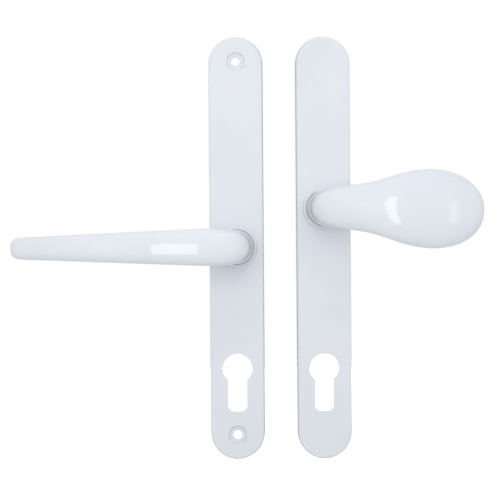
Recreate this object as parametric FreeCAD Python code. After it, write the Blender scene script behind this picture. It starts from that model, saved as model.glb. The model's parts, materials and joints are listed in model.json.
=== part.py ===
"""Lever and pad door handle set on long backplates, cut out for a euro profile cylinder.

Frame, in millimetres: the origin is the cylinder axis of the lever plate on the door face.
+X runs from the lever plate to the pad plate, +Y runs into the door and +Z runs up the plates.
The door face is the plane Y = 0, so everything in front of the door has a negative Y.
Depths in front of the door face are called reach: a point at reach r has Y = -r.
"""
import FreeCAD, Part
import math
import os

Vec = FreeCAD.Vector

# ---- driving dimensions: the two handles ------------------------------------------------
PLATE_PITCH = 50.2  # lever plate centre to pad plate centre, as the pair is laid out
LEVER_PZ = 70.0  # lever spindle above the cylinder axis
PAD_PZ = 92.0  # pad spindle above the cylinder axis

# ---- backplate --------------------------------------------------------------------------
PLATE_LENGTH = 243.6
PLATE_WIDTH = 31.6
PLATE_DEPTH = 10.0
PLATE_DRAFT = 0.25  # the front outline is this much smaller all round than the back one
PLATE_EDGE_RADIUS = 1.5
PLATE_WALL = 2.2
PLATE_CENTRE_Z = 69.4  # plate centre above the cylinder axis
FIXING_PITCH = 215.0  # centre distance of the two fixings, both plates

# ---- euro profile cut-out ---------------------------------------------------------------
KEYHOLE_RADIUS = 8.7
KEYHOLE_SLOT = 10.8  # slot width
KEYHOLE_HEIGHT = 34.0  # top of the round part to the foot of the slot
KEYHOLE_FOOT_RADIUS = 3.6
KEYHOLE_RIM = 1.8  # wall round the cut-out inside the plate
CUT_EDGE_RADIUS = 0.35  # small rounding where the cut-out and the screw seats meet the front face

# ---- collar, bush and hub ---------------------------------------------------------------
COLLAR_FOOT_RADIUS = 12.1
COLLAR_TOP_RADIUS = 11.7
COLLAR_HEIGHT = 2.7
COLLAR_EDGE_RADIUS = 0.5
BUSH_OUTER_RADIUS = 9.4
BUSH_FLANGE_RADIUS = 10.3
BUSH_FLANGE = 0.9
BUSH_SINK = 1.2  # top of the flange below the top of the collar
HUB_RADIUS = 8.0
RUNNING_GAP = 0.05
HUB_END_RADIUS = 7.6
HUB_FLAT = 6.5  # half the width across the two drive flats
HUB_END_REACH = 0.15
NECK_RADIUS = 9.3
SOCKET_SIDE = 8.15
SOCKET_REACH = 25.5
PAD_DROOP = 1.5  # degrees by which the pad hangs below square to its plate

# ---- spring stack behind the front wall -------------------------------------------------
CIRCLIP_THICK = 0.85
CIRCLIP_REACH = 0.75
GROOVE_WIDTH = 0.95
GROOVE_RADIUS = 6.9
CIRCLIP_RADIUS = 8.5
CIRCLIP_GAP = 30.0  # half the angle of the opening, in degrees
CIRCLIP_EYE = 1.7  # radius of the eye at each end
CIRCLIP_EYE_HOLE = 0.8
CIRCLIP_EYE_RING = 8.9  # how far the eyes are from the axis
WASHER_THICK = 0.3
WASHER_RADIUS = 8.9
CAM_THICK = 1.5
CAM_RADIUS = 9.7
CAM_ARM_RADIUS = 12.8
CAM_ARM_WIDTH = 8.0
CAM_FORK_HEIGHT = 2.3  # how far the two fork tabs stand forward of the cam
FORK_GAP = 1.7  # clear width between two tabs or two posts, for one leg of the spring
FORK_WIDTH = 1.5
POST_INNER_RADIUS = 10.5  # how far from the axis the spring's posts and the cam's stops begin
STOP_HEIGHT = 3.2  # height of the blocks that the cam's arm meets just past the end of its swing
STOP_DROP = 1.4  # top of those blocks below the spindle
SPRING_WIRE = 1.5
SPRING_RADIUS = 9.25  # to the middle of the wire
SPRING_PITCH = 1.58
SPRING_TURNS = 1.5
SPRING_LEG_RADIUS = 12.5  # how far from the axis the two legs reach
SPRING_BEND = 1.6  # bend radius between the coil and each leg, to the middle of the wire
SPRING_STEP = 12.0  # degrees of coil from one ring to the next

# ---- spindle, grub screw and fixings ----------------------------------------------------
SPINDLE_SIDE = 8.0
SPINDLE_FRONT_REACH = 25.0
SPINDLE_INTO_DOOR = 38.0
SPINDLE_CHAMFER = 0.7
GRUB_RADIUS = 2.0
GRUB_LENGTH = 4.6
GRUB_REACH = 18.0
GRUB_KEY = 2.0  # across the flats of the hexagon key
GRUB_KEY_DEPTH = 2.0
SCREW_HOLE_RADIUS = 2.55
SCREW_HOLE_CHAMFER = 0.6
SCREW_SEAT_RADIUS = 5.4  # at the front face; the wall of the seat leans in by its draft
SCREW_SEAT_DRAFT = 0.6
SCREW_SEAT_DEPTH = 1.6
SCREW_SEAT_FLOOR = 1.5  # metal under the screw head
SCREW_CLEARANCE_RADIUS = 3.6  # bore of the boss behind that metal
SCREW_BOSS_RADIUS = 6.0
PILLAR_RADIUS = 4.5
PILLAR_SHANK_RADIUS = 4.0
PILLAR_SHANK_DEPTH = 7.0
PILLAR_INTO_DOOR = 10.0
PILLAR_THREAD_RADIUS = 2.5
PILLAR_THREAD_END = 5.0  # reach at which the thread's bore ends
PILLAR_MOUTH = 0.6  # chamfer at the bore's mouth
PILLAR_BOSS_RADIUS = 6.2

# ---- values worked out from the above ---------------------------------------------------
FRONT_WALL_REACH = PLATE_DEPTH - PLATE_WALL  # inner face of the front wall
COLLAR_REACH = PLATE_DEPTH + COLLAR_HEIGHT
FLANGE_REACH = COLLAR_REACH - BUSH_SINK  # top of the bush flange
NECK_REACH = FLANGE_REACH + 0.05  # where the neck starts, just clear of the bush flange
WASHER_REACH = CIRCLIP_REACH + CIRCLIP_THICK + 0.05
CAM_REACH = WASHER_REACH + WASHER_THICK + 0.05
HUB_SHOULDER_REACH = CAM_REACH + CAM_THICK + 0.05
SPRING_REACH = HUB_SHOULDER_REACH + 0.1 + SPRING_WIRE / 2.0  # wire centre of the rear coil
HALF_WIDTH = PLATE_WIDTH / 2.0
HALF_RUN = PLATE_LENGTH / 2.0 - HALF_WIDTH  # plate centre to the middle of an end arc
CAVITY_HALF_WIDTH = HALF_WIDTH - PLATE_DRAFT - PLATE_WALL + 0.2
OUT = Vec(0, -1, 0)  # away from the door
INTO = Vec(0, 1, 0)  # into the door


def save(shape, name):
    """Writes one sub-part, after checking that it is a sound closed solid."""
    if not shape.isValid() or len(shape.Solids) != 1 or shape.Volume <= 0:
        raise ValueError(name + " isn't one sound solid")
    shape.exportStep("parts/" + name + ".step")
    print("%-26s %2d solid %9.1f mm3" % (name, len(shape.Solids), shape.Volume))


def rod(radius, reach_back, reach_front, x, z):
    """A round bar along Y between two reaches, centred on the axis at (x, z)."""
    length = reach_front - reach_back
    return Part.makeCylinder(radius, length, Vec(x, -reach_back, z), OUT)


def block(width, reach_back, reach_front, height, x, z):
    """A box centred on (x, z) between two reaches."""
    corner = Vec(x - width / 2.0, -reach_front, z - height / 2.0)
    return Part.makeBox(width, reach_front - reach_back, height, corner)


def stadium(half_width, half_run, reach, x, z):
    """Outline of a bar with round ends, its long side along Z, as a closed wire at a reach."""
    y = -reach
    top = Vec(x, y, z + half_run)
    foot = Vec(x, y, z - half_run)
    side = Vec(half_width, 0, 0)
    up = Vec(0, 0, half_width)
    right = Part.LineSegment(foot + side, top + side).toShape()
    crown = Part.Arc(top + side, top + up, top - side).toShape()
    left = Part.LineSegment(top - side, foot - side).toShape()
    heel = Part.Arc(foot - side, foot - up, foot + side).toShape()
    return Part.Wire([right, crown, left, heel])


def keyhole(grow, reach_back, reach_front, x, z):
    """The euro profile, grown by a margin, as a solid between two reaches."""
    radius = KEYHOLE_RADIUS + grow
    half = KEYHOLE_SLOT / 2.0 + grow
    foot = KEYHOLE_HEIGHT - KEYHOLE_RADIUS + grow
    bend = KEYHOLE_FOOT_RADIUS + grow
    y = -reach_back
    join = -math.sqrt(radius ** 2 - half ** 2)
    diagonal = bend * (1 - math.sqrt(0.5))

    def at(dx, dz):
        return Vec(x + dx, y, z + dz)

    edges = [
        Part.Arc(at(half, join), at(0, radius), at(-half, join)).toShape(),
        Part.LineSegment(at(-half, join), at(-half, bend - foot)).toShape(),
        Part.Arc(at(-half, bend - foot), at(diagonal - half, diagonal - foot),
                 at(bend - half, -foot)).toShape(),
        Part.LineSegment(at(bend - half, -foot), at(half - bend, -foot)).toShape(),
        Part.Arc(at(half - bend, -foot), at(half - diagonal, diagonal - foot),
                 at(half, bend - foot)).toShape(),
        Part.LineSegment(at(half, bend - foot), at(half, join)).toShape(),
    ]
    return Part.Face(Part.Wire(edges)).extrude(OUT * (reach_front - reach_back))


def at_reach(edges, reach):
    """The edges that lie flat at one reach."""
    return [e for e in edges
            if abs(e.BoundBox.YMin + reach) < 0.01 and abs(e.BoundBox.YMax + reach) < 0.01]


def plate_shell(x, z_plate):
    """The drafted outside of a plate with its rounded front edge, hollowed from behind."""
    narrow = HALF_WIDTH - PLATE_DRAFT
    back = stadium(HALF_WIDTH, HALF_RUN, 0, x, z_plate)
    front = stadium(narrow, HALF_RUN, PLATE_DEPTH, x, z_plate)
    outside = Part.makeLoft([back, front], True, True)
    outside = outside.makeFillet(PLATE_EDGE_RADIUS, at_reach(outside.Edges, PLATE_DEPTH))
    cavity = Part.Face(stadium(CAVITY_HALF_WIDTH, HALF_RUN, 0, x, z_plate))
    return outside.cut(cavity.extrude(OUT * FRONT_WALL_REACH))


def stiffening_ribs(x, z_plate, keep_clear):
    """Cross ribs at an even pitch and one spine, left out near what must stay clear."""
    ribs = []
    pitch = 20.5
    rib = 1.5
    rib_back = 1.6
    count = int((PLATE_LENGTH / 2.0 - 12) / pitch)
    stations = [z_plate + k * pitch for k in range(-count, count + 1)]
    for z in stations:
        if all(abs(z - middle) > margin for middle, margin in keep_clear):
            ribs.append(block(2 * CAVITY_HALF_WIDTH + 0.4, rib_back, FRONT_WALL_REACH + 0.2, rib, x, z))
    low = z_plate - HALF_RUN - 2
    high = z_plate + HALF_RUN + 2
    gaps = sorted((middle - margin, middle + margin) for middle, margin in keep_clear)
    start = low
    for gap_low, gap_high in gaps + [(high, high)]:
        length = min(gap_low, high) - start
        if length > 8:
            ribs.append(block(rib, rib_back, FRONT_WALL_REACH + 0.2, length, x, start + length / 2.0))
        start = max(start, gap_high)
    return ribs


def collar(x, z):
    """The raised round seat on the front of a plate, which the neck stands in."""
    root = 0.3  # how far the cone is sunk in the plate
    cone = Part.makeCone(COLLAR_FOOT_RADIUS, COLLAR_TOP_RADIUS, COLLAR_HEIGHT + root,
                         Vec(x, root - PLATE_DEPTH, z), OUT)
    return cone.makeFillet(COLLAR_EDGE_RADIUS, at_reach(cone.Edges, COLLAR_REACH))


def spring_posts(x, z):
    """Two cast posts above the hub that hold the fixed leg, and two stops for the cam arm."""
    offset = (FORK_GAP + FORK_WIDTH) / 2.0
    post_middle = (POST_INNER_RADIUS + CAVITY_HALF_WIDTH) / 2.0
    post_height = CAVITY_HALF_WIDTH - POST_INNER_RADIUS
    spring_front = SPRING_REACH + SPRING_PITCH * SPRING_TURNS
    posts = [block(FORK_WIDTH, spring_front - 1.2, FRONT_WALL_REACH + 0.2, post_height,
                   x + side * offset, z + post_middle) for side in (-1, 1)]
    stop_width = CAVITY_HALF_WIDTH + 0.2 - POST_INNER_RADIUS
    for side in (-1, 1):
        posts.append(block(stop_width, CAM_REACH - 0.2, FRONT_WALL_REACH + 0.2, STOP_HEIGHT,
                           x + side * (POST_INNER_RADIUS + stop_width / 2.0),
                           z - STOP_DROP - STOP_HEIGHT / 2.0))
    return posts


def backplate(x, z_spindle, threaded):
    """One cast plate: shell, ribs, collar, keyhole wall, fixing bosses and spring posts."""
    z_plate = PLATE_CENTRE_Z
    fixings = [z_plate - FIXING_PITCH / 2.0, z_plate + FIXING_PITCH / 2.0]
    keyhole_middle = KEYHOLE_RADIUS - KEYHOLE_HEIGHT / 2.0
    keep_clear = [(z_spindle, 17.0), (keyhole_middle, KEYHOLE_HEIGHT / 2.0 + 1.0)]
    keep_clear += [(z, 5.0) for z in fixings]
    boss_radius = PILLAR_BOSS_RADIUS if threaded else SCREW_BOSS_RADIUS
    added = stiffening_ribs(x, z_plate, keep_clear)
    added.append(keyhole(KEYHOLE_RIM, 0.0, FRONT_WALL_REACH + 0.2, x, 0.0))
    added += [rod(boss_radius, 0.0, FRONT_WALL_REACH + 0.2, x, z) for z in fixings]
    added.append(collar(x, z_spindle))
    added += spring_posts(x, z_spindle)
    body = plate_shell(x, z_plate).fuse(added).removeSplitter()

    opening = keyhole(0.0, -1.0, PLATE_DEPTH + 1.0, x, 0.0)
    bore = rod(BUSH_OUTER_RADIUS, FRONT_WALL_REACH - 1.0, COLLAR_REACH + 1.0, x, z_spindle)
    recess = rod(BUSH_FLANGE_RADIUS + 0.05, FLANGE_REACH - BUSH_FLANGE, COLLAR_REACH + 1.0, x, z_spindle)
    removed = [opening, bore, recess]
    for z in fixings:
        if threaded:
            removed.append(rod(PILLAR_SHANK_RADIUS, -1.0, PILLAR_SHANK_DEPTH, x, z))
        else:
            removed.append(screw_seat(x, z))
    body = body.cut(removed)
    cut_edges = [e for e in at_reach(body.Edges, PLATE_DEPTH) if is_cut_edge(e.BoundBox, x, fixings)]
    return body.makeFillet(CUT_EDGE_RADIUS, cut_edges)


def is_cut_edge(box, x, fixings):
    """Whether an edge on the front face belongs to the cut-out or to a screw seat."""
    if max(abs(box.XMin - x), abs(box.XMax - x)) > HALF_WIDTH - 4.0:
        return False
    near_keyhole = box.ZMax < KEYHOLE_RADIUS + 1.0 and box.ZMin > KEYHOLE_RADIUS - KEYHOLE_HEIGHT - 1.0
    near_seat = any(abs(box.Center.z - z) < 1.0 for z in fixings)
    return near_keyhole or near_seat


def screw_seat(x, z):
    """What is cut for one screw: a sunk flat seat, a chamfered hole and a wider bore behind it."""
    seat_reach = PLATE_DEPTH - SCREW_SEAT_DEPTH
    floor_back = seat_reach - SCREW_SEAT_FLOOR
    seat = Part.makeCone(SCREW_SEAT_RADIUS - SCREW_SEAT_DRAFT, SCREW_SEAT_RADIUS, SCREW_SEAT_DEPTH,
                         Vec(x, -seat_reach, z), OUT)
    above = rod(SCREW_SEAT_RADIUS, PLATE_DEPTH, PLATE_DEPTH + 1.0, x, z)
    hole = rod(SCREW_HOLE_RADIUS, floor_back - 0.5, PLATE_DEPTH, x, z)
    chamfer = Part.makeCone(SCREW_HOLE_RADIUS + SCREW_HOLE_CHAMFER, SCREW_HOLE_RADIUS, SCREW_HOLE_CHAMFER,
                            Vec(x, -seat_reach, z), INTO)
    behind = rod(SCREW_CLEARANCE_RADIUS, -1.0, floor_back, x, z)
    return seat.fuse([above, hole, chamfer, behind])


def bearing_bush(x, z):
    """Flanged nylon bush that lines the bore of the plate."""
    flange_back = FLANGE_REACH - BUSH_FLANGE
    barrel = rod(BUSH_OUTER_RADIUS, FRONT_WALL_REACH, flange_back, x, z)
    flange = rod(BUSH_FLANGE_RADIUS, flange_back, FLANGE_REACH, x, z)
    bore = rod(HUB_RADIUS + RUNNING_GAP, FRONT_WALL_REACH - 1, FLANGE_REACH + 1, x, z)
    return barrel.fuse(flange).removeSplitter().cut(bore)


# ---- smooth skins over a list of rings: the two grips and the spring wire ---------------
RING_POINTS = 24  # control points round one ring
SMOOTHING = (2.0 + math.cos(2.0 * math.pi / RING_POINTS)) / 3.0  # a cubic ring is this much smaller


def ring(middle, across, upright, half_across, half_upright, power=2.0):
    """Control points of one section: a superellipse about its middle, on two unit directions."""
    points = []
    for k in range(RING_POINTS):
        angle = 2.0 * math.pi * k / RING_POINTS
        c, s = math.cos(angle), math.sin(angle)
        u = math.copysign(abs(c) ** (2.0 / power), c) * half_across / SMOOTHING
        v = math.copysign(abs(s) ** (2.0 / power), s) * half_upright / SMOOTHING
        points.append(middle + across * u + upright * v)
    return points


def skin(rings):
    """A closed solid whose wall is one cubic B-spline surface through a list of rings."""
    rows = len(rings)
    row_mults = [4] + [1] * (rows - 4) + [4]
    row_knots = [float(k) for k in range(len(row_mults))]
    ring_mults = [1] * (RING_POINTS + 1)
    ring_knots = [float(k) for k in range(RING_POINTS + 1)]
    surface = Part.BSplineSurface()
    surface.buildFromPolesMultsKnots(rings, row_mults, ring_mults, row_knots, ring_knots,
                                     False, True, 3, 3)
    wall = surface.toShape()
    ends = [Part.Face(Part.Wire([surface.uIso(u).toShape()])) for u in (row_knots[0], row_knots[-1])]
    shell = Part.makeShell([wall] + ends)
    shell.sewShape()
    solid = Part.makeSolid(shell)
    if solid.Volume < 0:
        solid.reverse()
    return solid


def grip_rings(sections, x, z, side, droop):
    """Rings along a grip, each square to the path at its station.

    A section is (out, reach, lean, half_height, half_thick, power). lean is the path's direction
    in degrees, 0 away from the door and 90 along the grip; out is the distance along the grip.
    droop is how many degrees the grip hangs below level.
    """
    rings = []
    for out, reach, lean, half_height, half_thick, power in sections:
        lean = math.radians(lean)
        middle = Vec(x + side * out, -reach, z - out * math.tan(math.radians(droop)))
        across = Vec(side * math.cos(lean), math.sin(lean), 0)
        rings.append(ring(middle, across, Vec(0, 0, 1), half_thick, half_height, power))
    return rings


def neck_sections(swell):
    """The straight neck, which both grips share. swell is how much taller it is at the elbow."""
    return [(0.0, NECK_REACH, 0, NECK_RADIUS, NECK_RADIUS, 2.0),
            (0.0, NECK_REACH + 4.0, 0, NECK_RADIUS, NECK_RADIUS, 2.0),
            (0.0, NECK_REACH + 9.5, 0, NECK_RADIUS + 0.3 * swell, 9.25, 2.0),
            (0.0, NECK_REACH + 15.5, 0, NECK_RADIUS + 0.8 * swell, 9.1, 2.05)]


def lever_sections():
    """A tapering bar with a nearly square tip."""
    sections = neck_sections(0.2)
    sections += [(0.4, 33.0, 9, 9.6, 8.8, 2.15),
                 (2.6, 38.8, 32, 9.85, 8.3, 2.3),
                 (8.0, 43.0, 62, 10.25, 7.5, 2.45),
                 (16.5, 44.3, 80, 10.5, 6.9, 2.6)]
    start, length = 28.0, 91.0
    steps = 7
    for k in range(steps + 1):
        share = k / float(steps)
        bow = 1.3 * math.sin(math.pi * share)
        sections.append((start + length * share, 44.4 - 2.6 * share ** 2 + bow, 90,
                         10.0 - 3.8 * share, 6.6 - 1.9 * share, 2.7))
    sections += [(121.5, 41.6, 90, 5.95, 4.5, 2.7),
                 (123.6, 41.5, 90, 5.3, 4.0, 2.6),
                 (124.9, 41.5, 90, 4.25, 3.1, 2.4),
                 (125.6, 41.5, 90, 2.9, 2.0, 2.2),
                 (125.7, 41.5, 90, 1.4, 1.0, 2.0),
                 (125.7, 41.5, 90, 0.4, 0.4, 2.0)]
    return sections


def pad_sections():
    """A narrow neck that opens into a flattened egg."""
    sections = neck_sections(0.9)
    sections += [(0.4, 32.4, 9, 10.6, 8.7, 2.1),
                 (2.6, 38.0, 32, 11.2, 8.2, 2.15),
                 (8.0, 41.9, 60, 11.9, 7.6, 2.2),
                 (16.0, 43.4, 77, 12.7, 7.2, 2.2),
                 (24.5, 44.4, 82, 14.0, 7.3, 2.2),
                 (31.5, 45.2, 85, 16.0, 7.8, 2.2),
                 (39.0, 45.7, 88, 18.75, 8.5, 2.2),
                 (47.0, 45.9, 90, 20.9, 9.0, 2.2),
                 (56.0, 45.8, 90, 22.2, 9.2, 2.2),
                 (65.0, 45.3, 90, 21.85, 9.0, 2.2),
                 (73.0, 44.6, 90, 19.85, 8.4, 2.2),
                 (79.6, 43.9, 90, 16.4, 7.4, 2.2),
                 (84.6, 43.4, 90, 11.5, 5.9, 2.15),
                 (87.1, 43.2, 90, 6.8, 4.0, 2.1),
                 (87.9, 43.2, 90, 2.9, 2.0, 2.0),
                 (87.9, 43.2, 90, 0.5, 0.5, 2.0)]
    return sections


def hub_flats(edge, reach_back, reach_front, x, z):
    """The two slabs beyond the drive flats, which begin at an edge to each side of the axis."""
    slab = 2 * HUB_RADIUS
    return [block(slab, reach_back, reach_front, 3 * HUB_RADIUS, x + side * (edge + slab / 2.0), z)
            for side in (-1, 1)]


def grip(sections, x, z, side, droop):
    """The casting: skin, hub with drive flats, circlip groove, square socket and grub hole."""
    hub = rod(HUB_RADIUS, HUB_SHOULDER_REACH, NECK_REACH + 2.0, x, z)
    hub_end = rod(HUB_END_RADIUS, HUB_END_REACH, HUB_SHOULDER_REACH + 0.5, x, z)
    hub_end = hub_end.cut(hub_flats(HUB_FLAT, -1.0, HUB_SHOULDER_REACH, x, z))
    groove_back = CIRCLIP_REACH - 0.05
    groove = rod(HUB_RADIUS + 2, groove_back, groove_back + GROOVE_WIDTH, x, z)
    groove = groove.cut(rod(GROOVE_RADIUS, groove_back - 1, groove_back + GROOVE_WIDTH + 1, x, z))
    hub_end = hub_end.cut(groove)
    socket = block(SOCKET_SIDE, -1.0, SOCKET_REACH, SOCKET_SIDE, x, z)
    grub_hole = Part.makeCylinder(GRUB_RADIUS + 0.05, 14.0, Vec(x, -GRUB_REACH, z), Vec(0, 0, -1))
    outside = skin(grip_rings(sections, x, z, side, droop))
    body = outside.fuse([hub, hub_end]).removeSplitter()
    return body.cut([socket, grub_hole])


def drive_cam(x, z):
    """Pressed plate keyed to the hub, with an arm below and two tabs that fork the spring leg."""
    front = CAM_REACH + CAM_THICK
    disc = rod(CAM_RADIUS, CAM_REACH, front, x, z)
    arm_disc = rod(CAM_ARM_RADIUS, CAM_REACH, front, x, z)
    arm = arm_disc.common(block(CAM_ARM_WIDTH, CAM_REACH, front, CAM_ARM_RADIUS, x, z - CAM_ARM_RADIUS / 2.0))
    offset = (FORK_GAP + FORK_WIDTH) / 2.0
    inner = SPRING_RADIUS + SPRING_WIRE / 2.0 + 0.2
    tab_height = CAM_ARM_RADIUS - 0.3 - inner
    tabs = [block(FORK_WIDTH, CAM_REACH, front + CAM_FORK_HEIGHT, tab_height,
                  x + side * offset, z - inner - tab_height / 2.0) for side in (-1, 1)]
    plate = disc.fuse([arm] + tabs).removeSplitter()
    hole = rod(HUB_END_RADIUS + RUNNING_GAP, CAM_REACH - 1, front + 1, x, z)
    hole = hole.cut(hub_flats(HUB_FLAT + RUNNING_GAP, CAM_REACH - 2, front + 2, x, z))
    return plate.cut(hole)


def return_spring(x, z):
    """Torsion spring: a short coil round the hub, with a fixed leg above and a driven leg below.

    The path is leg, bend, coil, bend, leg. Each bend is an arc that touches the coil's circle and
    the line of its leg, so the wire has no corner.
    """
    bend_centre = SPRING_RADIUS + SPRING_BEND
    lag = math.asin(SPRING_BEND / bend_centre)  # angle from a leg to where its bend meets the coil
    leg_foot = bend_centre * math.cos(lag)
    first = -math.pi / 2.0
    last = first + 2.0 * math.pi * SPRING_TURNS
    stations = []  # (radius, angle, angle of the wire's own direction, share of the coil's height)
    for share in (0.0, 0.5, 0.9):
        radius = SPRING_LEG_RADIUS + (leg_foot - SPRING_LEG_RADIUS) * share
        stations.append((radius, first, first + math.pi, 0.0))
    steps = 4
    for k in range(1, steps):
        stations.append(bend_station(first, lag, k / float(steps), bend_centre) + (0.0,))
    turns = int(round(math.degrees(last - first - 2 * lag) / SPRING_STEP))
    for k in range(turns + 1):
        share = k / float(turns)
        angle = first + lag + (last - first - 2 * lag) * share
        stations.append((SPRING_RADIUS, angle, angle + math.pi / 2.0, share))
    for k in range(steps - 1, 0, -1):
        radius, angle, heading = bend_station(-last, lag, k / float(steps), bend_centre)
        stations.append((radius, -angle, math.pi - heading, 1.0))
    for share in (0.9, 0.5, 0.0):
        radius = SPRING_LEG_RADIUS + (leg_foot - SPRING_LEG_RADIUS) * share
        stations.append((radius, last, last, 1.0))
    rings = []
    for radius, angle, heading, share in stations:
        reach = SPRING_REACH + SPRING_PITCH * SPRING_TURNS * share
        middle = Vec(x + radius * math.cos(angle), -reach, z + radius * math.sin(angle))
        across = Vec(-math.sin(heading), 0, math.cos(heading))
        rings.append(ring(middle, across, OUT, SPRING_WIRE / 2.0, SPRING_WIRE / 2.0))
    return skin(rings)


def bend_station(leg_angle, lag, share, bend_centre):
    """Radius, angle and heading of a point on the bend from a leg (share 0) to the coil (share 1)."""
    middle = Vec(bend_centre * math.cos(leg_angle + lag), bend_centre * math.sin(leg_angle + lag), 0)
    heading = leg_angle + math.pi + share * (lag - math.pi / 2.0)
    swing = heading + math.pi / 2.0
    point = middle + Vec(math.cos(swing), math.sin(swing), 0) * SPRING_BEND
    return point.Length, math.atan2(point.y, point.x), heading


def wave_washer(x, z):
    """Thin spring washer between the circlip and the cam."""
    disc = rod(WASHER_RADIUS, WASHER_REACH, WASHER_REACH + WASHER_THICK, x, z)
    return disc.cut(rod(HUB_END_RADIUS + 0.15, WASHER_REACH - 1, WASHER_REACH + 1, x, z))


def circlip(x, z):
    """External retaining ring: open at the top, with an eye at each end."""
    back = CIRCLIP_REACH
    front = CIRCLIP_REACH + CIRCLIP_THICK
    wedge_reach = 20.0
    corners = [Vec(x, 1 - back, z)]
    for angle in (90 - CIRCLIP_GAP, 90 + CIRCLIP_GAP):
        a = math.radians(angle)
        corners.append(Vec(x + wedge_reach * math.cos(a), 1 - back, z + wedge_reach * math.sin(a)))
    gap = Part.Face(Part.makePolygon(corners + corners[:1])).extrude(OUT * 4)
    band = rod(CIRCLIP_RADIUS, back, front, x, z).cut(gap)
    eyes, holes = [], []
    for angle in (86 - CIRCLIP_GAP, 94 + CIRCLIP_GAP):
        a = math.radians(angle)
        eye_x = x + CIRCLIP_EYE_RING * math.cos(a)
        eye_z = z + CIRCLIP_EYE_RING * math.sin(a)
        eyes.append(rod(CIRCLIP_EYE, back, front, eye_x, eye_z))
        holes.append(rod(CIRCLIP_EYE_HOLE, back - 1, front + 1, eye_x, eye_z))
    core = rod(GROOVE_RADIUS + 0.03, back - 1, front + 1, x, z)
    return band.fuse(eyes).removeSplitter().cut(holes + [core])


def spindle(x, z):
    """Square bar from the socket of the hub into the lock."""
    bar = block(SPINDLE_SIDE, -SPINDLE_INTO_DOOR, SPINDLE_FRONT_REACH, SPINDLE_SIDE, x, z)
    ends = [e for e in bar.Edges if e.BoundBox.YLength < 0.01]
    return bar.makeChamfer(SPINDLE_CHAMFER, ends)


def grub_screw(x, z):
    """Hexagon socket set screw that holds the spindle, from below the neck."""
    top = Vec(x, -GRUB_REACH, z - SPINDLE_SIDE / 2.0 - 0.02)
    down = Vec(0, 0, -1)
    screw = Part.makeCylinder(GRUB_RADIUS, GRUB_LENGTH, top, down)
    foot_z = top.z - GRUB_LENGTH
    corner = GRUB_KEY / math.sqrt(3.0)
    turns = [math.radians(60 * k) for k in range(7)]
    hexagon = [Vec(x + corner * math.cos(a), -GRUB_REACH + corner * math.sin(a), foot_z) for a in turns]
    key = Part.Face(Part.makePolygon(hexagon)).extrude(Vec(0, 0, GRUB_KEY_DEPTH))
    return screw.cut(key)


def fixing_pillar(x, z):
    """Threaded steel post pressed into the pad plate, which takes a fixing bolt through the door."""
    post = rod(PILLAR_RADIUS, -PILLAR_INTO_DOOR, 0.0, x, z)
    shank = rod(PILLAR_SHANK_RADIUS, -0.5, PILLAR_SHANK_DEPTH, x, z)
    thread = rod(PILLAR_THREAD_RADIUS, -PILLAR_INTO_DOOR - 1, PILLAR_THREAD_END, x, z)
    mouth = Part.makeCone(PILLAR_THREAD_RADIUS, PILLAR_THREAD_RADIUS + PILLAR_MOUTH, PILLAR_MOUTH,
                          Vec(x, PILLAR_INTO_DOOR - PILLAR_MOUTH, z), INTO)
    return post.fuse(shank).removeSplitter().cut([thread, mouth])


def handle(prefix, x, z_spindle, side, sections, droop, threaded):
    """Writes every sub-part of one handle."""
    save(backplate(x, z_spindle, threaded), prefix + "_backplate")
    save(bearing_bush(x, z_spindle), prefix + "_bearing_bush")
    save(grip(sections, x, z_spindle, side, droop), prefix + "_grip")
    save(drive_cam(x, z_spindle), prefix + "_drive_cam")
    save(return_spring(x, z_spindle), prefix + "_return_spring")
    save(wave_washer(x, z_spindle), prefix + "_wave_washer")
    save(circlip(x, z_spindle), prefix + "_circlip")
    save(spindle(x, z_spindle), prefix + "_spindle")
    save(grub_screw(x, z_spindle), prefix + "_grub_screw")


def main():
    os.makedirs("parts", exist_ok=True)
    handle("lever", 0.0, LEVER_PZ, -1, lever_sections(), 0.0, False)
    handle("pad", PLATE_PITCH, PAD_PZ, 1, pad_sections(), PAD_DROOP, True)
    for name, sign in (("lower", -1), ("upper", 1)):
        height = PLATE_CENTRE_Z + sign * FIXING_PITCH / 2.0
        save(fixing_pillar(PLATE_PITCH, height), name + "_fixing_pillar")


main()
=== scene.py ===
"""Looks of a lever and pad door handle set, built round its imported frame.

Lengths are in metres in the frame's own axes: X from the lever plate to the pad plate, Y into the
door and Z up. Depths in front of the door face have a negative Y.
"""
import json
import math

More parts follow.
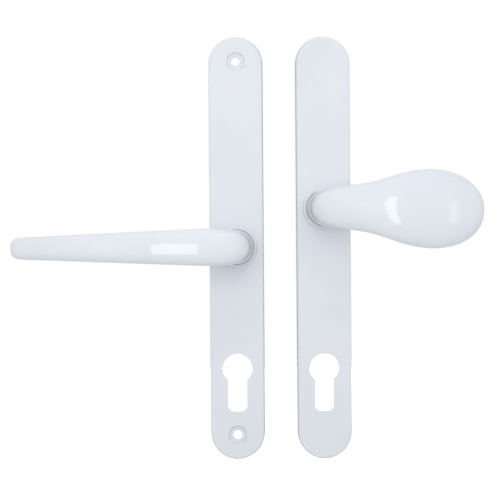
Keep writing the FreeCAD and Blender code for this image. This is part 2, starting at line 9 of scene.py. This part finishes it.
import bmesh
import bpy
from bpy.props import FloatProperty, FloatVectorProperty, IntProperty, PointerProperty, StringProperty
from mathutils import Euler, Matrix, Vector


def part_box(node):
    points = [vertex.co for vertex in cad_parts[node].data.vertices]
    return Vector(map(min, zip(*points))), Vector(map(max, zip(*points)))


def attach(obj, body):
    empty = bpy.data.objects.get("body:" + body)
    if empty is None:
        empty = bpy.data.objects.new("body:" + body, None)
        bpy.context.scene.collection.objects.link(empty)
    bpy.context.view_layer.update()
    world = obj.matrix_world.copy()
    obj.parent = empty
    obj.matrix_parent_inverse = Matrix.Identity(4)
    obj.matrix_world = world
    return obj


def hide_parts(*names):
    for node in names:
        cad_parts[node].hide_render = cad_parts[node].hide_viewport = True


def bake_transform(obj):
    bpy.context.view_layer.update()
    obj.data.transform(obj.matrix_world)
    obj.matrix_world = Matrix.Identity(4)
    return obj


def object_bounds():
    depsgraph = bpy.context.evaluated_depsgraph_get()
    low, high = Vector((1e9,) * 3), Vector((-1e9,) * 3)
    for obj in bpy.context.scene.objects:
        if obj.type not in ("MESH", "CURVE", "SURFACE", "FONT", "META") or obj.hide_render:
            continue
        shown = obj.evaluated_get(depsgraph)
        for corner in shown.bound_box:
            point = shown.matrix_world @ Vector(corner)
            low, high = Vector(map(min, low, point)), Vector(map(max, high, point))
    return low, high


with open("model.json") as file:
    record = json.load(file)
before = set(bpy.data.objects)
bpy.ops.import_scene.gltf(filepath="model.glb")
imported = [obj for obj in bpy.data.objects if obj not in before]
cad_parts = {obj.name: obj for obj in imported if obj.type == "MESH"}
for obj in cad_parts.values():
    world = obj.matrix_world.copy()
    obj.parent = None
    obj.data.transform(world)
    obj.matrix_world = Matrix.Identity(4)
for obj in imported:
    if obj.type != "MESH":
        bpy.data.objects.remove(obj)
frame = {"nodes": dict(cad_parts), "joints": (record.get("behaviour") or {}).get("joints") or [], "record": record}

bl_info = {
    "name": "Lever and pad handle set",
    "version": (1, 0, 0),
    "blender": (4, 5, 0),
    "location": "View3D > Sidebar > Handle set",
    "description": "Powder-coated lever and pad door handles with their springs and fixings",
    "category": "Object",
}

MM = 0.001
CAD_BOX = [list(corner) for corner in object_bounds()]
PREFIXES = ("lever", "pad")
ENDS = ("lower", "upper")
JOINTS = {joint["child"]: joint for joint in frame["joints"]}
MOUNTS = {mount["name"]: mount for mount in frame["record"]["mounts"]}

ZINC_PLATE = "bright zinc plate on drawn steel"
SPRING_STEEL = "oil-tempered spring steel"
# Noise below CLOUD_LOW shows a material's first colour and noise above CLOUD_HIGH its second.
CLOUD_LOW, CLOUD_HIGH = 0.35, 0.65


def spindle_axis(prefix):
    """(x, z) of the axis that a handle turns on."""
    x, _, z = JOINTS[prefix]["pos_m"]
    return x, z


# ---- sizes and colours that a user would change -----------------------------------------


class HandleSetCoat(bpy.types.PropertyGroup):
    """The finish of the castings."""

    white: StringProperty(name="Coat colour", description="sRGB hex of the powder coat", default="E4E8EE")
    cool_white: StringProperty(
        name="Coat in thin places", description="sRGB hex of the coat where it lies thinner",
        default="DFE4EC")
    peel_size: FloatProperty(
        name="Orange peel", description="Distance between two waves of the coat's surface",
        default=2.2 * MM, unit="LENGTH", precision=5)
    peel_height: FloatProperty(
        name="Peel height", description="Height of those waves",
        default=0.002 * MM, unit="LENGTH", precision=6)
    roughness: FloatProperty(
        name="Roughness", description="Roughness of the gloss coat",
        default=0.055, min=0.0, max=1.0, subtype="FACTOR")


class HandleSetSpring(bpy.types.PropertyGroup):
    """The wire of the two return springs."""

    wire: FloatProperty(
        name="Wire", description="Diameter of the spring wire", default=1.5 * MM, unit="LENGTH", precision=5)
    turns: FloatProperty(name="Turns", description="Turns of the coil from leg to leg", default=1.5)
    bend: FloatProperty(
        name="Bend", description="Radius of the bend from the coil to a leg, to the middle of the wire",
        default=1.6 * MM, unit="LENGTH", precision=5)
    sides: IntProperty(name="Sides", description="Vertices round the wire", default=20, min=6)


class HandleSetSmallParts(bpy.types.PropertyGroup):
    """Wave washers and threads."""

    washer_thick: FloatProperty(
        name="Washer stock", description="Thickness of the wave washer's strip",
        default=0.2 * MM, unit="LENGTH", precision=6)
    washer_wave: FloatProperty(
        name="Washer wave", description="Height of the washer's waves to each side",
        default=0.05 * MM, unit="LENGTH", precision=6)
    washer_waves: IntProperty(name="Waves", description="Waves round the washer", default=3, min=2)
    thread_pitch: FloatProperty(
        name="Thread pitch", description="Pitch of the M5 thread in the pillars",
        default=0.8 * MM, unit="LENGTH", precision=5)
    thread_depth: FloatProperty(
        name="Thread depth", description="Depth of that thread", default=0.4 * MM, unit="LENGTH", precision=5)


class HandleSetStage(bpy.types.PropertyGroup):
    """Camera, floor and studio light."""

    distance: FloatProperty(
        name="Camera distance", description="From the camera to the front of the plates",
        default=1.0, unit="LENGTH")
    view_width: FloatProperty(
        name="View width", description="Width of the view at the front of the plates",
        default=0.2877, unit="LENGTH", precision=4)
    aim: FloatVectorProperty(
        name="Aim", description="Point that the camera looks at",
        default=(0.0077, -0.010, 0.0683), subtype="XYZ", unit="LENGTH", precision=4)
    roll: FloatProperty(
        name="Roll", description="How far the camera is turned about its own line of sight",
        default=math.radians(-0.41), unit="ROTATION", precision=4)
    floor_drop: FloatProperty(
        name="Floor drop", description="Floor below the lowest point of the set", default=0.15, unit="LENGTH")
    dome: FloatProperty(name="Dome", description="Strength of the soft light from all round", default=0.76)
    dome_lean: FloatVectorProperty(
        name="Dome lean", description="How much brighter the dome is along each axis",
        default=(0.01, 0.10, 0.04), subtype="XYZ")


GROUPS = {
    "coat": HandleSetCoat,
    "spring": HandleSetSpring,
    "small": HandleSetSmallParts,
    "stage": HandleSetStage,
}


class HandleSetSettings(bpy.types.PropertyGroup):
    """All settings of the handle set."""

    coat: PointerProperty(type=HandleSetCoat, name="Coat", description="Finish of the castings")
    spring: PointerProperty(type=HandleSetSpring, name="Springs", description="The return springs")
    small: PointerProperty(type=HandleSetSmallParts, name="Small parts", description="Washers and threads")
    stage: PointerProperty(type=HandleSetStage, name="Stage", description="Camera, floor and light")


# ---- nodes and colours ------------------------------------------------------------------


def linear(hex_colour):
    """An sRGB hex colour as linear red, green, blue and alpha."""
    channels = [int(hex_colour[k:k + 2], 16) / 255.0 for k in (0, 2, 4)]
    return tuple(c / 12.92 if c <= 0.04045 else ((c + 0.055) / 1.055) ** 2.4 for c in channels) + (1.0,)


def add_node(tree, kind, values=None, links=None, stops=(), **settings):
    """A new node with its settings, its unlinked inputs, its links and a ramp's stops."""
    made = tree.nodes.new(kind)
    for name, value in settings.items():
        setattr(made, name, value)
    for socket, value in (values or {}).items():
        made.inputs[socket].default_value = value
    for socket, source in (links or {}).items():
        tree.links.new(source, made.inputs[socket])
    for k, (position, colour) in enumerate(stops):
        made.color_ramp.elements[k].position = position
        made.color_ramp.elements[k].color = linear(colour)
    return made


def new_material(name):
    """An empty node material and the object's own coordinates in metres."""
    made = bpy.data.materials.new(name)
    made.use_nodes = True
    made.node_tree.nodes.clear()
    place = add_node(made.node_tree, "ShaderNodeTexCoord").outputs["Object"]
    return made, made.node_tree, place


def white_powder_coat(coat):
    """Gloss white polyester powder coat on a zinc die casting.

    It flows out in the oven to a hard even skin: a broad soft gloss over a faintly bluish white,
    and the shallow waves called orange peel, which only show where a light is mirrored.
    """
    cloud_size, gloss_spread = 45 * MM, 0.01
    made, tree, place = new_material("white polyester powder coat on zinc casting")
    cloud = add_node(tree, "ShaderNodeTexNoise", {"Scale": 1 / cloud_size, "Detail": 2.0}, {"Vector": place})
    peel = add_node(tree, "ShaderNodeTexNoise", {"Scale": 1 / coat.peel_size, "Detail": 1.0},
                    {"Vector": place})
    tone = add_node(tree, "ShaderNodeValToRGB", links={"Fac": cloud.outputs["Fac"]},
                    stops=((CLOUD_LOW, coat.cool_white), (CLOUD_HIGH, coat.white)))
    gloss = add_node(tree, "ShaderNodeMapRange",
                     {"To Min": coat.roughness - gloss_spread, "To Max": coat.roughness + gloss_spread},
                     {"Value": cloud.outputs["Fac"]})
    bump = add_node(tree, "ShaderNodeBump", {"Strength": 1.0, "Distance": coat.peel_height},
                    {"Height": peel.outputs["Fac"]})
    shader = add_node(tree, "ShaderNodeBsdfPrincipled", {"IOR": 1.5, "Metallic": 0.0},
                      {"Base Color": tone.outputs["Color"], "Roughness": gloss.outputs["Result"],
                       "Normal": bump.outputs["Normal"]})
    add_node(tree, "ShaderNodeOutputMaterial", links={"Surface": shader.outputs["BSDF"]})
    return made


def natural_nylon():
    """Moulded natural nylon 66: waxy off-white with the mould's fine satin grain.

    The real grain is finer and is drawn this coarse so that it shows.
    """
    cloud_size, grain_size, grain_height = 9 * MM, 0.4 * MM, 0.01 * MM
    made, tree, place = new_material("moulded natural nylon")
    cloud = add_node(tree, "ShaderNodeTexNoise", {"Scale": 1 / cloud_size, "Detail": 2.0}, {"Vector": place})
    grain = add_node(tree, "ShaderNodeTexNoise", {"Scale": 1 / grain_size, "Detail": 3.0}, {"Vector": place})
    tone = add_node(tree, "ShaderNodeValToRGB", links={"Fac": cloud.outputs["Fac"]},
                    stops=((CLOUD_LOW, "D9DEE4"), (CLOUD_HIGH, "E3E7EB")))
    satin = add_node(tree, "ShaderNodeMapRange", {"To Min": 0.42, "To Max": 0.52},
                     {"Value": grain.outputs["Fac"]})
    bump = add_node(tree, "ShaderNodeBump", {"Strength": 0.5, "Distance": grain_height},
                    {"Height": grain.outputs["Fac"]})
    shader = add_node(tree, "ShaderNodeBsdfPrincipled", {"IOR": 1.53, "Metallic": 0.0},
                      {"Base Color": tone.outputs["Color"], "Roughness": satin.outputs["Result"],
                       "Normal": bump.outputs["Normal"]})
    add_node(tree, "ShaderNodeOutputMaterial", links={"Surface": shader.outputs["BSDF"]})
    return made


def zinc_plate():
    """Bright zinc plate on cold drawn steel: a pale bluish metal, clouded by its passivation.

    Fine marks of the drawing die run along the bar, which lies along Y. The real ones are closer
    together and are drawn this far apart so that they show.
    """
    cloud_size, mark_gap, mark_height = 6 * MM, 0.25 * MM, 0.006 * MM
    drawn_out = (1.0, 0.04, 1.0)
    made, tree, place = new_material(ZINC_PLATE)
    along = add_node(tree, "ShaderNodeMapping", {"Scale": drawn_out}, {"Vector": place})
    marks = add_node(tree, "ShaderNodeTexNoise", {"Scale": 1 / mark_gap, "Detail": 3.0},
                     {"Vector": along.outputs["Vector"]})
    cloud = add_node(tree, "ShaderNodeTexNoise", {"Scale": 1 / cloud_size, "Detail": 4.0}, {"Vector": place})
    tone = add_node(tree, "ShaderNodeValToRGB", links={"Fac": cloud.outputs["Fac"]},
                    stops=((CLOUD_LOW, "AEB2B8"), (CLOUD_HIGH, "C6C9CC")))
    haze = add_node(tree, "ShaderNodeMapRange", {"To Min": 0.28, "To Max": 0.44},
                    {"Value": cloud.outputs["Fac"]})
    bump = add_node(tree, "ShaderNodeBump", {"Strength": 0.4, "Distance": mark_height},
                    {"Height": marks.outputs["Fac"]})
    shader = add_node(tree, "ShaderNodeBsdfPrincipled", {"Metallic": 1.0},
                      {"Base Color": tone.outputs["Color"], "Roughness": haze.outputs["Result"],
                       "Normal": bump.outputs["Normal"]})
    add_node(tree, "ShaderNodeOutputMaterial", links={"Surface": shader.outputs["BSDF"]})
    return made


def oiled_spring_steel():
    """Oil-tempered spring steel: dark blue-grey scale under a film of oil, with a close dull shine.

    The scale's real grain is finer and is drawn this coarse so that it shows.
    """
    cloud_size, scale_size, scale_height = 3 * MM, 0.3 * MM, 0.006 * MM
    made, tree, place = new_material(SPRING_STEEL)
    cloud = add_node(tree, "ShaderNodeTexNoise", {"Scale": 1 / cloud_size, "Detail": 4.0}, {"Vector": place})
    scale = add_node(tree, "ShaderNodeTexNoise", {"Scale": 1 / scale_size, "Detail": 2.0}, {"Vector": place})
    tone = add_node(tree, "ShaderNodeValToRGB", links={"Fac": cloud.outputs["Fac"]},
                    stops=((CLOUD_LOW, "4A4C52"), (CLOUD_HIGH, "6B6D72")))
    film = add_node(tree, "ShaderNodeMapRange", {"To Min": 0.3, "To Max": 0.48},
                    {"Value": cloud.outputs["Fac"]})
    bump = add_node(tree, "ShaderNodeBump", {"Strength": 0.4, "Distance": scale_height},
                    {"Height": scale.outputs["Fac"]})
    shader = add_node(tree, "ShaderNodeBsdfPrincipled", {"Metallic": 1.0},
                      {"Base Color": tone.outputs["Color"], "Roughness": film.outputs["Result"],
                       "Normal": bump.outputs["Normal"]})
    add_node(tree, "ShaderNodeOutputMaterial", links={"Surface": shader.outputs["BSDF"]})
    return made


def paint_nodes(names, material):
    """Gives a material to CAD nodes."""
    for name in names:
        slots = frame["nodes"][name].data.materials
        slots.clear()
        slots.append(material)


def both(part):
    """The two nodes of a part that each handle has."""
    return [prefix + "_" + part for prefix in PREFIXES]


def material_once(name, maker):
    """The material of that name, made the first time it is asked for."""
    return bpy.data.materials.get(name) or maker()


# ---- meshes -----------------------------------------------------------------------------


def new_piece(name, mesh, material, body=None, shade_smooth=True):
    """A piece of the visual model in the frame, with its material in a slot."""
    mesh.materials.append(material)
    for face in mesh.polygons:
        face.use_smooth = shade_smooth
    piece = bpy.data.objects.new(name, mesh)
    bpy.context.scene.collection.objects.link(piece)
    if body:
        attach(piece, body)
    return piece


def skin_rings(name, rings, closed=False):
    """A mesh over a list of rings of equal length. Open ends are capped."""
    mesh = bmesh.new()
    rows = [[mesh.verts.new(point) for point in ring] for ring in rings]
    pairs = list(zip(rows, rows[1:])) + ([(rows[-1], rows[0])] if closed else [])
    for one, two in pairs:
        for k in range(len(one)):
            after = (k + 1) % len(one)
            mesh.faces.new((one[k], one[after], two[after], two[k]))
    if not closed:
        mesh.faces.new(list(reversed(rows[0])))
        mesh.faces.new(rows[-1])
    bmesh.ops.recalc_face_normals(mesh, faces=mesh.faces)
    made = bpy.data.meshes.new(name)
    mesh.to_mesh(made)
    mesh.free()
    return made


def polar(angle, radius):
    """A point at that angle and distance from the middle."""
    return Vector((math.cos(angle), math.sin(angle))) * radius


def spring_path(coil_radius, leg_radius, bend, turns):
    """Stations along the wire, from the lower leg's tip to the upper leg's, as (point, share).

    A point is (x, z) from the coil's axis. Its share is how far along that axis it lies, from 0 at
    the rear to 1 at the front.
    """
    bend_radius = coil_radius + bend
    lag = math.asin(bend / bend_radius)
    leg_foot = bend_radius * math.cos(lag)
    first = -math.pi / 2
    last = first + 2 * math.pi * turns
    bend_steps, steps_per_turn = 8, 60
    coil_steps = int(steps_per_turn * turns)

    def leg(angle, shares):
        """The straight stretch at that angle, from its tip to where its bend begins."""
        return [polar(angle, leg_radius + (leg_foot - leg_radius) * share) for share in shares]

    def turn(angle, side, shares):
        """The bend between a leg and the coil, which lies to that side of the leg."""
        middle = polar(angle + side * lag, bend_radius)
        swings = [angle - side * math.pi / 2 - side * share * (math.pi / 2 - lag) for share in shares]
        return [middle + polar(swing, bend) for swing in swings]

    inner = [k / bend_steps for k in range(1, bend_steps)]
    stations = [(point, 0.0) for point in leg(first, (0.0, 0.5, 1.0)) + turn(first, 1, inner)]
    for k in range(coil_steps + 1):
        share = k / coil_steps
        stations.append((polar(first + lag + (last - first - 2 * lag) * share, coil_radius), share))
    inner.reverse()
    return stations + [(point, 1.0) for point in turn(last, -1, inner) + leg(last, (1.0, 0.5, 0.0))]


def wind_spring(prefix, spring):
    """One torsion spring: its upper leg is held by the plate and its lower leg by the drive cam."""
    low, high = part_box(prefix + "_return_spring")
    x, z = spindle_axis(prefix)
    half_wire = spring.wire / 2
    eased_tip = half_wire * 0.86  # the wire's two cut ends have a small chamfer
    rear, front = high.y - half_wire, low.y + half_wire
    stations = spring_path(
        coil_radius=(high.x - low.x) / 2 - half_wire, leg_radius=(high.z - low.z) / 2,
        bend=spring.bend, turns=spring.turns)
    into_door = Vector((0, 1, 0))
    last = len(stations) - 1
    rings = []
    for k, (point, share) in enumerate(stations):
        heading = (stations[min(k + 1, last)][0] - stations[max(k - 1, 0)][0]).normalized()
        across = Vector((-heading.y, 0, heading.x))
        middle = Vector((x + point.x, rear + (front - rear) * share, z + point.y))
        radius = eased_tip if k in (0, last) else half_wire
        angles = [2 * math.pi * j / spring.sides for j in range(spring.sides)]
        rings.append([middle + (across * math.cos(a) + into_door * math.sin(a)) * radius for a in angles])
    mesh = skin_rings(prefix + "_spring_wire", rings)
    steel = material_once(SPRING_STEEL, oiled_spring_steel)
    piece = new_piece(prefix + "_spring_wire", mesh, steel)
    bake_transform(piece)
    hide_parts(prefix + "_return_spring")


def press_washer(prefix, small):
    """One wave washer: a thin ring that rises and falls a few times round its circle."""
    low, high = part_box(prefix + "_wave_washer")
    x, z = spindle_axis(prefix)
    middle_y = (low.y + high.y) / 2
    half_thick = small.washer_thick / 2
    outer = (high.x - low.x) / 2
    strip_width, steps = 1.1 * MM, 96
    inner = outer - strip_width
    section = ((inner, -half_thick), (outer, -half_thick), (outer, half_thick), (inner, half_thick))
    rings = []
    for k in range(steps):
        angle = 2 * math.pi * k / steps
        wave = middle_y + small.washer_wave * math.sin(small.washer_waves * angle)
        rings.append([Vector((x + r * math.cos(angle), wave + rise, z + r * math.sin(angle)))
                      for r, rise in section])
    mesh = skin_rings(prefix + "_washer_wave", rings, closed=True)
    steel = material_once(SPRING_STEEL, oiled_spring_steel)
    piece = new_piece(prefix + "_washer_wave", mesh, steel, body=prefix, shade_smooth=False)
    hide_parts(prefix + "_wave_washer")


def cut_thread(end, small):
    """The thread inside one fixing pillar, as a helical ridge that stands in from the bore's wall."""
    low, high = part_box(end + "_fixing_pillar")
    x, z = (low.x + high.x) / 2, (low.z + high.z) / 2
    bore = MOUNTS["pad_plate_fixings"]["dims"]["hole_r_mm"] * MM
    wall = bore + 0.02 * MM  # the ridge's foot is sunk a little into the wall
    mouth = high.y - 0.6 * MM  # where the countersink at the bore's mouth ends
    depth, per_turn, least_fade = 14.0 * MM, 32, 0.05
    count = int(per_turn * depth / small.thread_pitch)
    foot_half = small.thread_pitch * 0.44
    crest_half = small.thread_pitch * 0.08
    rings = []
    for k in range(count + 1):
        angle = 2 * math.pi * k / per_turn
        # The ridge rises over the first turn and runs out over the last one.
        fade = min(1.0, k / per_turn, (count - k) / per_turn)
        middle = mouth - small.thread_pitch * k / per_turn
        crest = bore - small.thread_depth * max(fade, least_fade)
        section = ((wall, -foot_half), (crest, -crest_half), (crest, crest_half), (wall, foot_half))
        rings.append([Vector((x + r * math.cos(angle), middle + shift, z + r * math.sin(angle)))
                      for r, shift in section])
    mesh = skin_rings(end + "_pillar_thread", rings)
    plate = material_once(ZINC_PLATE, zinc_plate)
    new_piece(end + "_pillar_thread", mesh, plate, body="root", shade_smooth=False)


# ---- stage ------------------------------------------------------------------------------


# Each light is its place, the point it faces, its width, its height and its watts.
# A softbox lights the coat and is not mirrored in it.
SOFTBOXES = {
    "front softbox": ((0.0, -0.5, 0.16), (0.0, 0.0, 0.16), 0.5, 0.3, 0.82),
    "overhead softbox": ((0.0, -0.25, 0.50), (0.01, 0.0, 0.07), 0.6, 0.4, 0.28),
}
# A window is only mirrored, in the one grip that it is named with, and makes a highlight there.
WINDOWS = {
    "lever window": ("lever_grip", (-0.05, -0.62, 0.02), (-0.05, 0.0, 0.04), 0.055, 0.24, 0.13),
    "tip window": ("lever_grip", (-0.185, -0.62, 0.05), (-0.06, 0.0, 0.05), 0.055, 0.25, 0.03),
    "pad window": ("pad_grip", (-0.03, -0.62, 0.06), (0.05, 0.0, 0.08), 0.055, 0.42, 0.24),
    "end window": ("pad_grip", (0.40, -0.62, 0.05), (0.10, 0.0, 0.07), 0.08, 0.25, 0.09),
}


def area_light(name, place, target, width, height, watts):
    """A white rectangle of light that faces a target."""
    light = bpy.data.lights.new(name, "AREA")
    light.shape = "RECTANGLE"
    light.size = width
    light.size_y = height
    light.energy = watts
    lamp = bpy.data.objects.new(name, light)
    lamp.location = place
    lamp.rotation_euler = (Vector(target) - Vector(place)).to_track_quat("-Z", "Y").to_euler()
    bpy.context.scene.collection.objects.link(lamp)
    return lamp


def shine_on(lamp, node):
    """Keeps a light to one node."""
    lit = bpy.data.collections.new(lamp.name + " falls on")
    lit.objects.link(frame["nodes"][node])
    lamp.light_linking.receiver_collection = lit


def hang_lights():
    """The softboxes and the windows."""
    for name, setting in SOFTBOXES.items():
        area_light(name, *setting).visible_glossy = False
    for name, (grip, *setting) in WINDOWS.items():
        lamp = area_light(name, *setting)
        lamp.visible_diffuse = False
        shine_on(lamp, grip)


def hang_camera(stage):
    """A camera square to the plates, turned a little about its own line of sight."""
    data = bpy.data.cameras.new("camera")
    data.sensor_width = 36.0
    data.lens = data.sensor_width * stage.distance / stage.view_width
    data.clip_start = 0.01
    data.clip_end = 50.0
    camera = bpy.data.objects.new("camera", data)
    camera.location = Vector(stage.aim) + Vector((0, -stage.distance, 0))
    level = Euler((math.pi / 2, 0, 0)).to_matrix()
    camera.rotation_euler = (level @ Euler((0, 0, stage.roll)).to_matrix()).to_euler()
    bpy.context.scene.collection.objects.link(camera)
    bpy.context.scene.camera = camera


def light_dome(stage):
    """Soft light from all round, brighter towards the dome's lean. The camera sees plain white instead."""
    white = (1, 1, 1, 1)
    world = bpy.data.worlds.new("white studio")
    world.use_nodes = True
    tree = world.node_tree
    tree.nodes.clear()
    direction = add_node(tree, "ShaderNodeTexCoord").outputs["Generated"]
    lean = add_node(tree, "ShaderNodeVectorMath", {1: stage.dome_lean}, {0: direction},
                    operation="DOT_PRODUCT")
    level = add_node(tree, "ShaderNodeMath", {1: stage.dome}, {0: lean.outputs["Value"]}, operation="ADD")
    dome = add_node(tree, "ShaderNodeBackground", {"Color": white}, {"Strength": level.outputs["Value"]})
    backdrop = add_node(tree, "ShaderNodeBackground", {"Color": white, "Strength": 1.0})
    seen = add_node(tree, "ShaderNodeLightPath").outputs["Is Camera Ray"]
    mix = add_node(tree, "ShaderNodeMixShader",
                   links={"Fac": seen, 1: dome.outputs["Background"], 2: backdrop.outputs["Background"]})
    add_node(tree, "ShaderNodeOutputWorld", links={"Surface": mix.outputs["Shader"]})
    bpy.context.scene.world = world


def stage_prop(name, mesh, material):
    """An object of the studio, which isn't part of the set."""
    mesh.materials.append(material)
    prop = bpy.data.objects.new(name, mesh)
    bpy.context.scene.collection.objects.link(prop)
    return prop


def studio_white():
    """Matt white studio floor, which glows so that it shows no edge and no shadow."""
    mottle_size = 0.4
    made, tree, place = new_material("matt white studio floor")
    mottle = add_node(tree, "ShaderNodeTexNoise", {"Scale": 1 / mottle_size, "Detail": 2.0},
                      {"Vector": place})
    tone = add_node(tree, "ShaderNodeValToRGB", links={"Fac": mottle.outputs["Fac"]},
                    stops=((CLOUD_LOW, "F4F4F4"), (CLOUD_HIGH, "F8F8F8")))
    matt = add_node(tree, "ShaderNodeBsdfDiffuse", links={"Color": tone.outputs["Color"]})
    glow = add_node(tree, "ShaderNodeEmission", {"Color": (1, 1, 1, 1), "Strength": 1.0})
    lit = add_node(tree, "ShaderNodeAddShader", links={0: matt.outputs["BSDF"], 1: glow.outputs["Emission"]})
    add_node(tree, "ShaderNodeOutputMaterial", links={"Surface": lit.outputs["Shader"]})
    return made


def black_felt():
    """Black felt, which gives back almost no light and no shine."""
    fibre_size = 2 * MM
    made, tree, place = new_material("black felt flag")
    fibre = add_node(tree, "ShaderNodeTexNoise", {"Scale": 1 / fibre_size, "Detail": 2.0}, {"Vector": place})
    tone = add_node(tree, "ShaderNodeValToRGB", links={"Fac": fibre.outputs["Fac"]},
                    stops=((CLOUD_LOW, "050505"), (CLOUD_HIGH, "080808")))
    felt = add_node(tree, "ShaderNodeBsdfDiffuse", links={"Color": tone.outputs["Color"]})
    add_node(tree, "ShaderNodeOutputMaterial", links={"Surface": felt.outputs["BSDF"]})
    return made


def lay_floor(stage):
    """A plain pale floor below the set. Only the camera sees it, and it blocks no light."""
    half = 3.0
    level = CAD_BOX[0][2] - stage.floor_drop
    mesh = bpy.data.meshes.new("floor")
    corners = [(-half, -half, level), (half, -half, level), (half, half, level), (-half, half, level)]
    mesh.from_pydata(corners, [], [(0, 1, 2, 3)])
    floor = stage_prop("floor", mesh, studio_white())
    floor.visible_glossy = False
    floor.visible_diffuse = False
    floor.visible_shadow = False


def stand_flag():
    """A black card in the gap between the plates, which keeps light off their inner edges."""
    lever_low, lever_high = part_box("lever_backplate")
    pad_low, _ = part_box("pad_backplate")
    below_faces, past_backs, past_ends, share_of_gap = 3.2 * MM, 1 * MM, 10 * MM, 0.86
    middle = (lever_high.x + pad_low.x) / 2
    half = (pad_low.x - lever_high.x) * share_of_gap / 2
    # Where the low and the high corners of a unit cube go, along X, Y and Z.
    low = (middle - half, lever_low.y + below_faces, lever_low.z - past_ends)
    high = (middle + half, lever_high.y + past_backs, lever_high.z + past_ends)
    mesh = bmesh.new()
    bmesh.ops.create_cube(mesh, size=1.0)
    for vertex in mesh.verts:
        vertex.co = [high[axis] if vertex.co[axis] > 0 else low[axis] for axis in range(3)]
    card = bpy.data.meshes.new("black flag")
    mesh.to_mesh(card)
    mesh.free()
    flag = stage_prop("black flag", card, black_felt())
    flag.visible_camera = False


# ---- operators --------------------------------------------------------------------------


class HANDLESET_OT_coat_castings(bpy.types.Operator):
    """Powder coat the two backplates and the two grips"""

    bl_idname = "handle_set.coat_castings"
    bl_label = "Coat the castings"

    def execute(self, context):
        coat = context.scene.handle_set.coat
        paint_nodes(both("backplate") + both("grip"), white_powder_coat(coat))
        return {"FINISHED"}


class HANDLESET_OT_finish_bushes(bpy.types.Operator):
    """Give the bearing bushes their nylon"""

    bl_idname = "handle_set.finish_bushes"
    bl_label = "Finish the bushes"

    def execute(self, context):
        paint_nodes(both("bearing_bush"), natural_nylon())
        return {"FINISHED"}


class HANDLESET_OT_plate_steel(bpy.types.Operator):
    """Zinc plate the spindles, cams, grub screws and fixing pillars, and oil the circlips"""

    bl_idname = "handle_set.plate_steel"
    bl_label = "Plate the steel parts"

    def execute(self, context):
        pillars = [end + "_fixing_pillar" for end in ENDS]
        plated = both("spindle") + both("drive_cam") + both("grub_screw") + pillars
        paint_nodes(plated, material_once(ZINC_PLATE, zinc_plate))
        paint_nodes(both("circlip"), material_once(SPRING_STEEL, oiled_spring_steel))
        return {"FINISHED"}


class HANDLESET_OT_wind_springs(bpy.types.Operator):
    """Wind the two return springs"""

    bl_idname = "handle_set.wind_springs"
    bl_label = "Wind the springs"

    def execute(self, context):
        for prefix in PREFIXES:
            wind_spring(prefix, context.scene.handle_set.spring)
        return {"FINISHED"}


class HANDLESET_OT_press_washers(bpy.types.Operator):
    """Press the two wave washers"""

    bl_idname = "handle_set.press_washers"
    bl_label = "Press the washers"

    def execute(self, context):
        for prefix in PREFIXES:
            press_washer(prefix, context.scene.handle_set.small)
        return {"FINISHED"}


class HANDLESET_OT_cut_threads(bpy.types.Operator):
    """Cut the threads in the two fixing pillars"""

    bl_idname = "handle_set.cut_threads"
    bl_label = "Cut the threads"

    def execute(self, context):
        for end in ENDS:
            cut_thread(end, context.scene.handle_set.small)
        return {"FINISHED"}


class HANDLESET_OT_set_stage(bpy.types.Operator):
    """Set up the camera, the floor and the studio light"""

    bl_idname = "handle_set.set_stage"
    bl_label = "Set the stage"

    def execute(self, context):
        stage = context.scene.handle_set.stage
        context.scene.view_settings.view_transform = "Standard"
        hang_camera(stage)
        light_dome(stage)
        lay_floor(stage)
        hang_lights()
        stand_flag()
        return {"FINISHED"}


OPERATORS = (
    HANDLESET_OT_coat_castings,
    HANDLESET_OT_finish_bushes,
    HANDLESET_OT_plate_steel,
    HANDLESET_OT_wind_springs,
    HANDLESET_OT_press_washers,
    HANDLESET_OT_cut_threads,
    HANDLESET_OT_set_stage,
)


class HANDLESET_PT_panel(bpy.types.Panel):
    """Sidebar panel that lists the steps and their settings"""

    bl_label = "Handle set"
    bl_idname = "HANDLESET_PT_panel"
    bl_space_type = "VIEW_3D"
    bl_region_type = "UI"
    bl_category = "Handle set"

    def draw(self, context):
        layout = self.layout
        for operator in OPERATORS:
            layout.operator(operator.bl_idname)
        for group_name, group in GROUPS.items():
            box = layout.box()
            settings = getattr(context.scene.handle_set, group_name)
            for setting in group.__annotations__:
                box.prop(settings, setting)


CLASSES = tuple(GROUPS.values()) + (HandleSetSettings,) + OPERATORS + (HANDLESET_PT_panel,)


def register():
    """Registers the classes and hangs the settings on the scene."""
    for cls in CLASSES:
        bpy.utils.register_class(cls)
    bpy.types.Scene.handle_set = PointerProperty(type=HandleSetSettings)


def unregister():
    """Takes the settings and the classes away again."""
    del bpy.types.Scene.handle_set
    for cls in reversed(CLASSES):
        bpy.utils.unregister_class(cls)


def main():
    register()
    bpy.ops.handle_set.coat_castings()
    bpy.ops.handle_set.finish_bushes()
    bpy.ops.handle_set.plate_steel()
    bpy.ops.handle_set.wind_springs()
    bpy.ops.handle_set.press_washers()
    bpy.ops.handle_set.cut_threads()
    bpy.ops.handle_set.set_stage()


if __name__ == "__main__":
    main()
